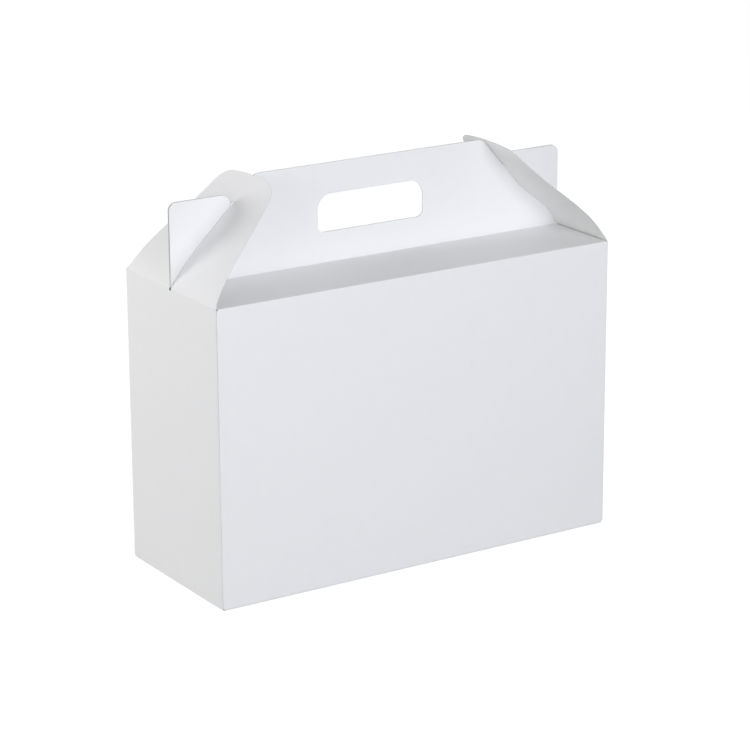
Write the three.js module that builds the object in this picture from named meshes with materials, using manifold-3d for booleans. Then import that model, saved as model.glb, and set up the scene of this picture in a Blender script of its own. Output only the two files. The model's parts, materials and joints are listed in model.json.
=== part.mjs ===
// Cardboard lunch box: one blank of solid bleached board, folded into a
// tall rectangular carton with a flat roof, a standing carry handle made of
// two panels pressed together, and an end flap at each side that is slit to
// drop over the handle's ear and lock in the notch behind it.
// Millimetres, +Z up, +X along the front, +Y to the back.
// The origin is the middle of the bottom face.
import * as THREE from 'three';
import { mergeVertices } from 'three/addons/utils/BufferGeometryUtils.js';
import Module from 'manifold-3d';

// Board
const BOARD = 0.5; // thickness of the board
const FOLD_RADIUS = 0.3; // inside radius of every fold
const CLEARANCE = 0.3; // gap between cut edges that pass or face each other
const SHEET_GAP = 0.4; // air between the two handle panels

// Fineness
const FOLD_STEPS = 4; // facets in a fold
const CUT_STEPS = 10; // facets in a rounded corner of a cut edge
const FLAP_STEPS = 36; // facets along the flap's bend
const WELD = 1e-5; // points nearer than this are one point

// Carton
const LENGTH = 300; // outside, along X
const DEPTH = 118; // outside, along Y
const HEIGHT = 199; // floor to the top of the roof
const GLUE_TAB_WIDTH = 20; // tab of the left end, glued behind the front
const SEAM_GROOVE = 0.3; // front's raw edge, past the fold of the tab behind it
const BOTTOM_SEAM_GAP = 0.4; // between the two outer bottom flaps
const BOTTOM_FLAP_SETBACK = 1.5; // outer bottom flaps' cut ends, in from the end's outside
const DUST_FLAP_LENGTH = 45; // inner bottom flap at each end, along X
const DUST_FLAP_SETBACK = 2; // inner bottom flap's cut sides, in from the wall

// Handle
const HANDLE_RISE = 66; // roof to the top of the handle
const EAR_RISE = 55; // roof to the top of the ear
const TOP_SETBACK = 1.1; // cut ends of the roof and the ears, in from the end's outside
const EAR_WIDTH = 43.4; // ear, from its outer edge to the notch
const EAR_OUTER_RADIUS = 4;
const EAR_INNER_RADIUS = 7;
const NOTCH_RADIUS = 1; // at the foot of the notch between the ear and the grip
const SHOULDER_RADIUS = 11; // handle's top corner
const HOLE_WIDTH = 81; // hand hole
const HOLE_HEIGHT = 25;
const HOLE_RISE = 20.3; // roof to the bottom of the hand hole
const HOLE_TOP_RADIUS = 10;
const HOLE_BOTTOM_RADIUS = 4.5;

// End flaps
const FLAP_REACH = 60; // crease to the flap's tip, along X
const FLAP_RISE = 65.2; // crease to the flap's tip, along Z
const FLAP_START_ANGLE = 58; // slope at the crease, degrees from level
const FLAP_END_ANGLE = 55; // slope at the tip
const FLAP_START_PULL = 30; // how far the slope at the crease carries
const FLAP_END_PULL = 30; // how far the slope at the tip carries
const FLAP_FOOT_SETBACK = 0.7; // flap's cut side at the crease, in from the wall
const FLAP_SHOULDER_BEND = 3; // crease to the middle of the shoulder's bend
const FLAP_WAIST_DISTANCE = 8; // crease to where the shoulder meets the tapered side
const FLAP_WAIST_SETBACK = 4.8; // flap's cut side there, in from the wall
const FLAP_TAPER = 0.285; // half width lost for each unit up the side
const FLAP_CORNER_RADIUS = 12; // flap's tip corners
const FLAP_TIP_RADIUS = 140; // gentle arch of the flap's tip
const SLIT_CLEARANCE = 0.5; // slit's side to the ear's face
const SWING_CLEARANCE = 0.7; // slit's end past the ear's far corner as the flap swings
const RELIEF_RADIUS = 1.6; // small round cut where the slit meets the crease

// What follows from the sizes above
const halfLength = LENGTH / 2;
const halfDepth = DEPTH / 2;
const outerRadius = FOLD_RADIUS + BOARD;
const handleFace = SHEET_GAP / 2 + BOARD; // outer face of each handle panel, from the middle plane
const hingeInset = BOARD / 2; // crease axis, in from the end's outside and down from the roof
const creaseHeight = HEIGHT - hingeInset;
const flapWaist = halfDepth - FLAP_WAIST_SETBACK; // flap's half width at the end of its shoulder
const overrun = 2 * BOARD; // how far a cutter runs past the board's edge
const wallTop = HEIGHT - outerRadius; // where the roof folds start and the ends stop, just below the flaps' feet
const wallFoot = BOARD + outerRadius; // where the inner bottom flaps' folds end
const deg = THREE.MathUtils.degToRad;

const { Manifold, Mesh } = await (async () => {
  const wasm = await Module();
  wasm.setup();
  return wasm;
})();

function solid(geometry) {
  const bare = geometry.index ? geometry.toNonIndexed() : geometry.clone();
  bare.deleteAttribute('normal');
  bare.deleteAttribute('uv');
  const merged = mergeVertices(bare, WELD);
  return new Manifold(new Mesh({
    numProp: 3,
    vertProperties: new Float32Array(merged.attributes.position.array),
    triVerts: new Uint32Array(merged.index.array),
  }));
}

function geometryOf(body) {
  const mesh = body.getMesh();
  const geometry = new THREE.BufferGeometry();
  geometry.setAttribute('position', new THREE.BufferAttribute(new Float32Array(mesh.vertProperties), 3));
  geometry.setIndex(new THREE.BufferAttribute(new Uint32Array(mesh.triVerts), 1));
  geometry.computeVertexNormals();
  return geometry;
}

// An outline drawn in x, y and pulled along z
function slab(shape, depth, steps = FOLD_STEPS) {
  return new THREE.ExtrudeGeometry(shape, { depth, bevelEnabled: false, curveSegments: steps });
}

// Turns a slab drawn in (along, up) so that it stands in the X-Z plane, centred on y = 0
function standAcrossY(geometry, depth) {
  return geometry.rotateX(Math.PI / 2).translate(0, depth / 2, 0);
}

// Turns a slab drawn in (y, z) so that it runs along X, centred on x = 0
function runAlongX(geometry, length) {
  const turn = new THREE.Matrix4().makeBasis(
    new THREE.Vector3(0, 1, 0),
    new THREE.Vector3(0, 0, 1),
    new THREE.Vector3(1, 0, 0),
  );
  return geometry.applyMatrix4(turn).translate(-length / 2, 0, 0);
}

// A closed outline whose corners are rounded: each corner is [x, y, radius]
function roundedOutline(corners, Path = THREE.Shape) {
  const outline = new Path();
  const count = corners.length;
  corners.forEach(([x, y, radius = 0], i) => {
    const corner = new THREE.Vector2(x, y);
    const before = new THREE.Vector2(...corners[(i + count - 1) % count].slice(0, 2)).sub(corner).normalize();
    const after = new THREE.Vector2(...corners[(i + 1) % count].slice(0, 2)).sub(corner).normalize();
    if (radius === 0) {
      if (i === 0) outline.moveTo(x, y);
      else outline.lineTo(x, y);
      return;
    }
    const halfTurn = Math.acos(THREE.MathUtils.clamp(before.dot(after), -1, 1)) / 2;
    const cut = radius / Math.tan(halfTurn);
    const start = corner.clone().addScaledVector(before, cut);
    const centre = corner.clone().addScaledVector(before.clone().add(after).normalize(), radius / Math.sin(halfTurn));
    const end = corner.clone().addScaledVector(after, cut);
    if (i === 0) outline.moveTo(start.x, start.y);
    else outline.lineTo(start.x, start.y);
    const from = start.sub(centre).angle();
    const to = end.sub(centre).angle();
    outline.absarc(centre.x, centre.y, radius, from, to, before.cross(after) > 0);
  });
  outline.closePath();
  return outline;
}

// The outline of a sheet of board whose middle line passes through the given
// corners, each bent round the fold radius; the two ends are square cuts
function foldedSheet(corners) {
  const half = BOARD / 2;
  const points = corners.map(([x, y]) => new THREE.Vector2(x, y));
  const sides = [[], []];
  points.forEach((point, i) => {
    const into = i > 0 ? point.clone().sub(points[i - 1]).normalize() : null;
    const out = i < points.length - 1 ? points[i + 1].clone().sub(point).normalize() : null;
    if (!into || !out) {
      const along = into ?? out;
      const normal = new THREE.Vector2(-along.y, along.x);
      sides[0].push(point.clone().addScaledVector(normal, half));
      sides[1].push(point.clone().addScaledVector(normal, -half));
      return;
    }
    const turn = Math.sign(into.cross(out));
    const bend = Math.acos(THREE.MathUtils.clamp(into.dot(out), -1, 1));
    const middle = FOLD_RADIUS + half;
    const start = point.clone().addScaledVector(into, -middle * Math.tan(bend / 2));
    const inward = new THREE.Vector2(-into.y, into.x).multiplyScalar(turn);
    const centre = start.clone().addScaledVector(inward, middle);
    for (let k = 0; k <= FOLD_STEPS; k += 1) {
      const spoke = inward.clone().negate().rotateAround(new THREE.Vector2(), (turn * bend * k) / FOLD_STEPS);
      sides[0].push(centre.clone().addScaledVector(spoke, middle - turn * half));
      sides[1].push(centre.clone().addScaledVector(spoke, middle + turn * half));
    }
  });
  return new THREE.Shape([...sides[1], ...sides[0].reverse()]);
}

// The small round cut at the foot of each slit, through the end wall and the flap alike
function reliefOutline() {
  return new THREE.Shape().absarc(0, 0, RELIEF_RADIUS, 0, 2 * Math.PI, false);
}

function reliefCut(side) {
  const through = runAlongX(slab(reliefOutline(), overrun, CUT_STEPS), overrun);
  return solid(through.translate(side * halfLength, 0, creaseHeight));
}

// The four walls in plan: one band of board from the front's raw edge right round to
// the left end's fold, and from there the tab that is glued behind the front
function sleeve() {
  const middle = BOARD / 2;
  const left = -halfLength + middle;
  const right = halfLength - middle;
  const front = -halfDepth + middle;
  const back = halfDepth - middle;
  const tabFace = front + BOARD;
  const foldEnd = tabFace - middle + outerRadius;
  const walls = foldedSheet([
    [-halfLength + outerRadius + SEAM_GROOVE, front],
    [right, front],
    [right, back],
    [left, back],
    [left, foldEnd],
  ]);
  const tab = foldedSheet([
    [left, foldEnd],
    [left, tabFace],
    [left + GLUE_TAB_WIDTH, tabFace],
  ]);
  const upright = (outline) => solid(slab(outline, wallTop - wallFoot).translate(0, 0, wallFoot));
  return upright(walls).add(upright(tab)).subtract(reliefCut(-1)).subtract(reliefCut(1));
}

// The front's run from its wall over the roof crease, along the roof and up the
// handle, as a section in y, z
function frontTopSection() {
  const middle = BOARD / 2;
  return foldedSheet([
    [-halfDepth + middle, wallTop],
    [-halfDepth + middle, HEIGHT - middle],
    [-SHEET_GAP / 2 - middle, HEIGHT - middle],
    [-SHEET_GAP / 2 - middle, HEIGHT + HANDLE_RISE],
  ]);
}

// The flap's middle line from its crease, in (inward, up)
const flapCurve = (() => {
  const start = new THREE.Vector2(hingeInset, creaseHeight - HEIGHT);
  const tip = new THREE.Vector2(FLAP_REACH, FLAP_RISE);
  const startSlope = new THREE.Vector2(Math.cos(deg(FLAP_START_ANGLE)), Math.sin(deg(FLAP_START_ANGLE)));
  const endSlope = new THREE.Vector2(Math.cos(deg(FLAP_END_ANGLE)), Math.sin(deg(FLAP_END_ANGLE)));
  return new THREE.CubicBezierCurve(
    start,
    start.clone().addScaledVector(startSlope, FLAP_START_PULL),
    tip.clone().addScaledVector(endSlope, -FLAP_END_PULL),
    tip,
  );
})();
const flapChord = flapCurve.v3.clone().sub(flapCurve.v0);
const flapLength = flapChord.length();
const flapTilt = flapChord.angle();

// How far the slit's end lies from the crease, so that the flap swings clear of the ear
const earInner = TOP_SETBACK + EAR_WIDTH; // ear's inner edge, in from the end's outside
const earCorner = new THREE.Vector2(
  earInner - EAR_INNER_RADIUS - hingeInset,
  EAR_RISE - EAR_INNER_RADIUS + hingeInset,
);
const slitEnd = earCorner.length() + EAR_INNER_RADIUS + SWING_CLEARANCE;

// The slanted wall that the locked flap leans on, in (inward, up): it runs along the
// whole board above the flap's slit and clear of its inner face. Returns the foot of
// the notch, where the wall meets the ear's inner edge, and the wall's head.
function notchWall() {
  const bridge = flapCurve.getPoints(FLAP_STEPS).filter(
    (point) => point.distanceTo(flapCurve.v0) > slitEnd && point.y < HANDLE_RISE,
  );
  const low = bridge[0];
  const high = bridge[bridge.length - 1];
  const along = high.clone().sub(low).normalize();
  const inner = new THREE.Vector2(along.y, -along.x);
  const bulge = Math.max(...bridge.map((point) => point.clone().sub(low).dot(inner)));
  const onWall = low.clone().addScaledVector(inner, bulge + BOARD / 2 + CLEARANCE);
  const slope = along.y / along.x;
  const foot = new THREE.Vector2(earInner, onWall.y + (earInner - onWall.x) * slope);
  const head = new THREE.Vector2(onWall.x + (HANDLE_RISE - onWall.y) / slope, HANDLE_RISE);
  return { foot, head };
}

// Both handle panels share one outline, seen from the front: ears, notches, grip and hole
function handleOutline() {
  const { foot, head } = notchWall();
  const half = [
    [halfLength - TOP_SETBACK, HEIGHT],
    [halfLength - TOP_SETBACK, HEIGHT + EAR_RISE, EAR_OUTER_RADIUS],
    [halfLength - earInner, HEIGHT + EAR_RISE, EAR_INNER_RADIUS],
    [halfLength - foot.x, HEIGHT + foot.y, NOTCH_RADIUS],
    [halfLength - head.x, HEIGHT + head.y, SHOULDER_RADIUS],
  ];
  const mirrored = half.map(([x, y, radius]) => [-x, y, radius]).reverse();
  const outline = roundedOutline([...half, ...mirrored]);
  const holeFoot = HEIGHT + HOLE_RISE;
  outline.holes.push(roundedOutline([
    [-HOLE_WIDTH / 2, holeFoot, HOLE_BOTTOM_RADIUS],
    [-HOLE_WIDTH / 2, holeFoot + HOLE_HEIGHT, HOLE_TOP_RADIUS],
    [HOLE_WIDTH / 2, holeFoot + HOLE_HEIGHT, HOLE_TOP_RADIUS],
    [HOLE_WIDTH / 2, holeFoot, HOLE_BOTTOM_RADIUS],
  ], THREE.Path));
  return outline;
}

// Roof and handle of the front or the back: the bent sheet, cut to the roof's ends
// below the handle fold and to the handle's outline above it
function topHalf(side) {
  const section = slab(frontTopSection(), LENGTH);
  const sheet = solid(runAlongX(section, LENGTH));
  const roofLength = LENGTH - 2 * TOP_SETBACK;
  const roofRise = HEIGHT + outerRadius;
  const roofBlock = solid(new THREE.BoxGeometry(roofLength, 2 * DEPTH, roofRise).translate(0, 0, roofRise / 2));
  const handleBlock = solid(standAcrossY(slab(handleOutline(), 2 * handleFace, CUT_STEPS), 2 * handleFace));
  const whole = sheet.intersect(roofBlock).add(sheet.intersect(handleBlock));
  return side < 0 ? whole : whole.mirror([0, 1, 0]);
}

// Bottom flap of the front or the back: folds in under the walls and stops at the seam
function outerBottomFlap(side) {
  const middle = BOARD / 2;
  const length = LENGTH - 2 * BOTTOM_FLAP_SETBACK;
  const section = foldedSheet([
    [-halfDepth + middle, wallFoot],
    [-halfDepth + middle, middle],
    [-BOTTOM_SEAM_GAP / 2, middle],
  ]);
  const flap = solid(runAlongX(slab(section, length), length));
  return side < 0 ? flap : flap.mirror([0, 1, 0]);
}

// Dust flap of one end: folded in first, so it lies on the two outer flaps, glued down
function dustFlap(side) {
  const middle = BOARD / 2;
  const width = DEPTH - 2 * DUST_FLAP_SETBACK - 2 * outerRadius;
  const section = foldedSheet([
    [-halfLength + middle, wallFoot],
    [-halfLength + middle, BOARD + middle],
    [-halfLength + DUST_FLAP_LENGTH, BOARD + middle],
  ]);
  const flap = solid(standAcrossY(slab(section, width), width));
  return side < 0 ? flap : flap.mirror([1, 0, 0]);
}

function cartonGeometry() {
  const pieces = [
    sleeve(),
    topHalf(-1),
    topHalf(1),
    outerBottomFlap(-1),
    outerBottomFlap(1),
    dustFlap(-1),
    dustFlap(1),
  ];
  return geometryOf(pieces.reduce((whole, piece) => whole.add(piece)));
}

// The flap's own middle line as a band of board with a rounded foot at the crease
function flapSection() {
  const half = BOARD / 2;
  const outer = [];
  const inner = [];
  for (let k = 0; k <= FLAP_STEPS; k += 1) {
    const t = k / FLAP_STEPS;
    const point = flapCurve.getPoint(t);
    const slope = flapCurve.getTangent(t);
    outer.push(new THREE.Vector2(point.x - slope.y * half, point.y + slope.x * half));
    inner.push(new THREE.Vector2(point.x + slope.y * half, point.y - slope.x * half));
  }
  const foot = [];
  const from = inner[0].clone().sub(flapCurve.v0).angle();
  for (let k = 1; k < FOLD_STEPS; k += 1) {
    const angle = from - (Math.PI * k) / FOLD_STEPS;
    foot.push(new THREE.Vector2(Math.cos(angle), Math.sin(angle)).multiplyScalar(half).add(flapCurve.v0));
  }
  return new THREE.Shape([...outer.reverse(), ...foot.reverse(), ...inner]);
}

// The flap's cut outline, flat, in (up the flap, across it): a short shoulder at the
// crease, straight tapered sides, and a gently arched tip between two corner arcs that
// touch both the sides and the arch
function flapOutline() {
  const foot = halfDepth - FLAP_FOOT_SETBACK;
  const halfWidthAt = (x) => flapWaist - FLAP_TAPER * (x - FLAP_WAIST_DISTANCE);
  const lean = Math.atan(FLAP_TAPER);
  const archCentre = flapLength - FLAP_TIP_RADIUS;
  const spokeLength = FLAP_TIP_RADIUS - FLAP_CORNER_RADIUS;
  const lineHeight = halfWidthAt(archCentre) - FLAP_CORNER_RADIUS / Math.cos(lean);
  const steepness = 1 + FLAP_TAPER ** 2;
  const spokeReach = (FLAP_TAPER * lineHeight
    + Math.sqrt(steepness * spokeLength ** 2 - lineHeight ** 2)) / steepness;
  const cornerX = archCentre + spokeReach;
  const cornerY = lineHeight - FLAP_TAPER * spokeReach;
  const tipAngle = Math.atan2(cornerY, spokeReach);
  const sideAngle = Math.PI / 2 - lean;
  const bendHalfWidth = halfWidthAt(FLAP_SHOULDER_BEND);
  const outline = new THREE.Shape();
  outline.moveTo(-overrun, -foot);
  outline.lineTo(0, -foot);
  outline.quadraticCurveTo(FLAP_SHOULDER_BEND, -bendHalfWidth, FLAP_WAIST_DISTANCE, -flapWaist);
  outline.absarc(cornerX, -cornerY, FLAP_CORNER_RADIUS, -sideAngle, -tipAngle, false);
  outline.absarc(archCentre, 0, FLAP_TIP_RADIUS, -tipAngle, tipAngle, false);
  outline.absarc(cornerX, cornerY, FLAP_CORNER_RADIUS, tipAngle, sideAngle, false);
  outline.lineTo(FLAP_WAIST_DISTANCE, flapWaist);
  outline.quadraticCurveTo(FLAP_SHOULDER_BEND, bendHalfWidth, 0, foot);
  outline.lineTo(-overrun, foot);
  return outline;
}

function slitOutline() {
  const half = handleFace + SLIT_CLEARANCE;
  const slit = new THREE.Shape();
  slit.moveTo(-overrun, -half);
  slit.lineTo(slitEnd - half, -half);
  slit.absarc(slitEnd - half, 0, half, -Math.PI / 2, Math.PI / 2, false);
  slit.lineTo(-overrun, half);
  return slit;
}

// Cutter for a flat outline of the flap: it stands square to the flap's chord
function flapCutter(shape) {
  const depth = 2 * FLAP_RISE;
  const block = slab(shape, depth, CUT_STEPS).translate(0, 0, -depth / 2);
  return solid(block.rotateY(-flapTilt).translate(flapCurve.v0.x, 0, flapCurve.v0.y));
}

// Left flap in (inward, across, up) from the end's outside and the roof's top
function flapGeometry() {
  const band = solid(standAcrossY(slab(flapSection(), DEPTH), DEPTH));
  const cut = band
    .intersect(flapCutter(flapOutline()))
    .subtract(flapCutter(slitOutline()))
    .subtract(flapCutter(reliefOutline()));
  return geometryOf(cut);
}

const boardWhite = new THREE.Color('#e8e9ec');
const boardGrey = new THREE.Color('#d2d2d3');

function boardMaterial(color) {
  return new THREE.MeshStandardMaterial({ color, roughness: 0.75, metalness: 0 });
}

const group = new THREE.Group();

const carton = new THREE.Mesh(cartonGeometry(), boardMaterial(boardWhite));
carton.name = 'carton';
group.add(carton);

const leftFlap = new THREE.Mesh(flapGeometry(), boardMaterial(boardGrey));
leftFlap.name = 'left_lock_flap';
leftFlap.position.set(-halfLength, 0, HEIGHT);
group.add(leftFlap);

const rightFlap = new THREE.Mesh(flapGeometry(), boardMaterial(boardGrey));
rightFlap.name = 'right_lock_flap';
rightFlap.position.set(halfLength, 0, HEIGHT);
rightFlap.rotation.z = Math.PI;
group.add(rightFlap);

export default group;
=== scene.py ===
"""A white cardboard lunch box: one die-cut blank of coated board, folded and locked by its end flaps.

Run as a script in Blender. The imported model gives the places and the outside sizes; this file
makes the board's fine surfaces, its finishes and the studio.
"""

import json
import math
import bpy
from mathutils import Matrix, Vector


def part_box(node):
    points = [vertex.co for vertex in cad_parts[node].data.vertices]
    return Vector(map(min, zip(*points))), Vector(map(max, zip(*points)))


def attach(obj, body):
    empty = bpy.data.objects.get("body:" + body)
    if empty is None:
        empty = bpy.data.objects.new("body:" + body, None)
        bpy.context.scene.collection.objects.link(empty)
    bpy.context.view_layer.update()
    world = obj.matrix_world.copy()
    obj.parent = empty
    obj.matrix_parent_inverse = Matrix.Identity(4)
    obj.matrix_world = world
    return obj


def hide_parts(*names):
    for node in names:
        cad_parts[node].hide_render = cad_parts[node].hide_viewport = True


bl_info = {
    "name": "Cardboard Lunch Box",
    "version": (1, 0, 0),
    "blender": (4, 5, 0),
    "location": "View3D > Sidebar > Lunch Box",
    "description": "Folds a carry carton of white board and lights it",
    "category": "Object",
}

import bpy
import numpy as np
from bpy.props import FloatProperty, FloatVectorProperty, PointerProperty
from mathutils import Quaternion, Vector
from mathutils.geometry import delaunay_2d_cdt

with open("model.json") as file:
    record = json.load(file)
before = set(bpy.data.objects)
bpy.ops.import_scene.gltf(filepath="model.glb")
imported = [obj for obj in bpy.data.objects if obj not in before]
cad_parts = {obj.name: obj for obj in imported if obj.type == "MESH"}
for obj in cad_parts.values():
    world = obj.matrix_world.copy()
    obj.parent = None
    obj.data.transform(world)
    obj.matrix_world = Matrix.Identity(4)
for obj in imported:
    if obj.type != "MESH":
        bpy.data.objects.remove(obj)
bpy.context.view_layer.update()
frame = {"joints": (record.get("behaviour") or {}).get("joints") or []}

MM = 0.001
IMAGE_SIDE = 750
SENSOR_WIDTH = 36.0

CARTON_BODY = "carton_body"
FLAPS = (("left", -1.0), ("right", 1.0))


# Sizes that come from the frame, in millimetres
carton_low, carton_high = (np.array(corner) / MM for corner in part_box("carton"))
LENGTH = float(carton_high[0] - carton_low[0])
DEPTH = float(carton_high[1] - carton_low[1])
TOP = float(carton_high[2])
CREASE_Z = frame["joints"][0]["pos_m"][2] / MM
CREASE_INSET = LENGTH / 2 - abs(frame["joints"][0]["pos_m"][0]) / MM
BOARD = 2 * CREASE_INSET
ROOF = CREASE_Z + CREASE_INSET
HANDLE_RISE = TOP - ROOF


def linear(code):
    """sRGB hex to linear red, green and blue, with an alpha of 1.

    A channel c becomes c / 12.92 up to 0.04045, and ((c + 0.055) / 1.055) ** 2.4 above it.
    """
    channels = np.array([int(code[i : i + 2], 16) / 255 for i in (1, 3, 5)])
    curved = ((channels + 0.055) / 1.055) ** 2.4
    return (*np.where(channels <= 0.04045, channels / 12.92, curved).tolist(), 1.0)


def length_prop(name, description, size):
    """A length, given in millimetres."""
    return FloatProperty(
        name=name, description=description, default=size * MM, unit="LENGTH", precision=5
    )


def colour_prop(name, description, code):
    """A colour, given in sRGB hex."""
    return FloatVectorProperty(
        name=name, description=description, default=linear(code), size=4, subtype="COLOR"
    )


class LunchBoxSizes(bpy.types.PropertyGroup):
    """The blank's own sizes, as die-cut and folded"""

    fold_radius: length_prop("Fold radius", "Inside radius of every fold", 0.3)
    sheet_gap: length_prop("Sheet gap", "Air between the two handle panels", 0.4)
    tab_width: length_prop("Tab width", "Glue tab behind the front", 20)
    tab_slope: length_prop("Tab slope", "How far the tab's ends slope over its width", 5)
    seam_setback: length_prop("Seam setback", "Front's raw edge, in from the end", 0.2)
    seam_opening: length_prop("Seam opening", "How much further the raw edge stands back at its foot", 0.4)
    bottom_gap: length_prop("Bottom gap", "Between the two outer bottom flaps", 0.4)
    bottom_setback: length_prop("Bottom setback", "Outer bottom flaps' ends, in from the ends", 1.5)
    bottom_radius: length_prop("Bottom radius", "Outer bottom flaps' corners", 2)
    dust_length: length_prop("Dust flap length", "Inner bottom flap at each end", 45)
    dust_setback: length_prop("Dust flap setback", "Inner bottom flap's sides, in from the wall", 2.8)
    dust_slope: length_prop("Dust flap slope", "How far the inner bottom flap narrows", 6)
    dust_radius: length_prop("Dust flap radius", "Inner bottom flap's corners", 5)
    crease_setback: length_prop("Crease setback", "End flap's crease, in from the upright folds", 0.3)
    top_setback: length_prop("Top setback", "Roof's and ears' cut ends, in from the ends", 1.1)
    ear_spread: length_prop("Ear spread", "How far the ears' outer edges stand out again", 0.8)
    ear_rise: length_prop("Ear rise", "Roof to the top of the ear", 55)
    ear_inner: length_prop("Ear inner edge", "In from the ends", 44.5)
    ear_outer_radius: length_prop("Ear outer radius", "Ear's outer top corner", 5)
    ear_inner_radius: length_prop("Ear inner radius", "Ear's inner top corner", 7)
    ear_parting: length_prop("Ear parting", "How far each ear springs from the other", 0.3)
    handle_pinch: length_prop("Handle pinch", "How far each handle panel is pressed to the other", 0.15)
    notch_radius: length_prop("Notch radius", "Foot of the notch", 1)
    shoulder_radius: length_prop("Shoulder radius", "Handle's top corner", 11)
    hole_width: length_prop("Hole width", "Hand hole", 81)
    hole_height: length_prop("Hole height", "Hand hole", 25)
    hole_rise: length_prop("Hole rise", "Roof to the bottom of the hand hole", 20.3)
    hole_top_radius: length_prop("Hole top radius", "Upper corners of the hand hole", 10)
    hole_bottom_radius: length_prop("Hole bottom radius", "Lower corners of the hand hole", 4.5)
    notch_clearance: length_prop("Notch clearance", "Locked flap to the wall it leans on", 0.3)
    panel_dish: length_prop("Panel dish", "How far each wall dishes inwards", 0.45)
    bead: length_prop("Crease bead", "Height of the bead that creasing leaves inside", 0.12)
    press: length_prop("Crease press", "Depth of the line that creasing leaves outside", 0.05)


class LunchBoxFlapSizes(bpy.types.PropertyGroup):
    """The end flaps' sizes, bent as they lie when locked"""

    reach: length_prop("Reach", "Crease to tip, along the carton", 60)
    rise: length_prop("Rise", "Crease to tip, upwards", 65.2)
    start_angle: FloatProperty(
        name="Start angle", description="Slope at the crease", default=math.radians(58), unit="ROTATION"
    )
    end_angle: FloatProperty(
        name="End angle", description="Slope at the tip", default=math.radians(55), unit="ROTATION"
    )
    pull: length_prop("Pull", "How far each end's slope carries", 30)
    foot_setback: length_prop("Foot setback", "Cut side at the crease, in from the wall", 0.7)
    shoulder_bend: length_prop("Shoulder bend", "Crease to the middle of the shoulder's bend", 3)
    waist_distance: length_prop("Waist distance", "Crease to the end of the shoulder", 8)
    waist_setback: length_prop("Waist setback", "Cut side there, in from the wall", 4.8)
    taper: FloatProperty(name="Taper", description="Half width lost per unit up the side", default=0.285)
    front_corner_radius: length_prop("Front corner radius", "Tip corner towards the front", 12)
    back_corner_radius: length_prop("Back corner radius", "Tip corner towards the back", 17)
    tip_radius: length_prop("Tip radius", "Gentle arch of the tip", 140)
    slit_clearance: length_prop("Slit clearance", "Slit's side to the ear's face", 0.5)
    swing_clearance: length_prop("Swing clearance", "Slit's end past the ear's far corner", 0.7)
    relief_radius: length_prop("Relief radius", "Round cut at the foot of the slit", 1.3)
    slit_tip: length_prop("Slit tip", "Half width of the slit's narrow end", 0.85)
    slit_narrowing: length_prop("Slit narrowing", "Length of the slit's narrow end", 9)
    tip_reserve: length_prop("Tip reserve", "Board past the tip of the solid flap", 0.7)
    left_front_lift: length_prop("Left front lift", "How far the left flap's front edge curls out", 0)
    left_back_lift: length_prop("Left back lift", "How far the left flap's back edge curls out", 1.05)
    left_slit_lift: length_prop("Left slit lift", "How far the left flap's middle stands out", 0)
    left_sag: length_prop("Left sag", "How far the left flap's slit edges sink", 0)
    right_front_lift: length_prop("Right front lift", "How far the right flap's front edge curls out", 3)
    right_back_lift: length_prop("Right back lift", "How far the right flap's back edge curls out", 3)
    right_slit_lift: length_prop("Right slit lift", "How far the right flap's middle stands out", 0.75)
    right_sag: length_prop("Right sag", "How far the right flap's slit edges sink", 3.4)
    sag_start: length_prop("Sag start", "Crease to where the slit edges start to sink", 12)
    sag_past: length_prop("Sag past", "Slit's end to where they stop sinking", 2)


class LunchBoxFinish(bpy.types.PropertyGroup):
    """Colours of the board's faces"""

    coated: colour_prop("Coated face", "Outside, clay coated", "#F2F2F3")
    uncoated: colour_prop("Uncoated face", "Inside", "#EFEFED")
    cut_edge: colour_prop("Cut edge", "Where the knife shows the plies", "#E4E3E0")
    floor: colour_prop("Floor", "Studio floor", "#969696")


class LunchBoxStudio(bpy.types.PropertyGroup):
    """Camera and light"""

    azimuth: FloatProperty(
        name="Azimuth", description="Camera round the box", default=math.radians(-32.56), unit="ROTATION"
    )
    elevation: FloatProperty(
        name="Elevation", description="Camera above level", default=math.radians(17.28), unit="ROTATION"
    )
    roll: FloatProperty(
        name="Roll", description="Camera's tilt", default=math.radians(-0.25), unit="ROTATION"
    )
    focal_pixels: FloatProperty(name="Focal length", description="In picture pixels", default=2982)
    centre_right: FloatProperty(name="Centre right", description="Optical centre, pixels right", default=1)
    centre_up: FloatProperty(name="Centre up", description="Optical centre, pixels up", default=2)
    lamp_distance: length_prop("Lamp distance", "Lamps to the box", 1500)
    lamp_size: length_prop("Lamp size", "Across each round lamp", 900)
    front_power: FloatProperty(name="Front", description="Watts, low in front", default=11.4)
    top_power: FloatProperty(name="Top", description="Watts, high in front", default=1.0)
    left_power: FloatProperty(name="Left", description="Watts, low at the left", default=3.8)
    back_power: FloatProperty(name="Back", description="Watts, low behind the left end", default=9.4)
    right_power: FloatProperty(name="Right", description="Watts, at the right", default=2.2)
    front_tint: colour_prop("Front tint", "Colour of the lamps in front", "#F6F9FF")
    sky_strength: FloatProperty(name="Sky", description="Light from all round", default=0.338)
    floor_glow: FloatProperty(name="Floor glow", description="Light the camera sees it add", default=0.89)


def millimetres(group):
    """A property group's lengths in millimetres, and its other numbers as they are, by name."""
    values = {}
    for prop in group.bl_rna.properties:
        if prop.identifier in ("rna_type", "name"):
            continue
        value = getattr(group, prop.identifier)
        values[prop.identifier] = value / MM if prop.unit == "LENGTH" else value
    return values


# Outlines

ARC_STEP = math.radians(9)

# Millimetres on the flat board, below which points or lines are too close to keep both
LEAST_SIDE = 0.04
GRID_CLEARANCE = 0.03
LINE_CLEARANCE = 0.12
SAME_LINE = 1e-4
SAME_POINT = 1e-7


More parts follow.
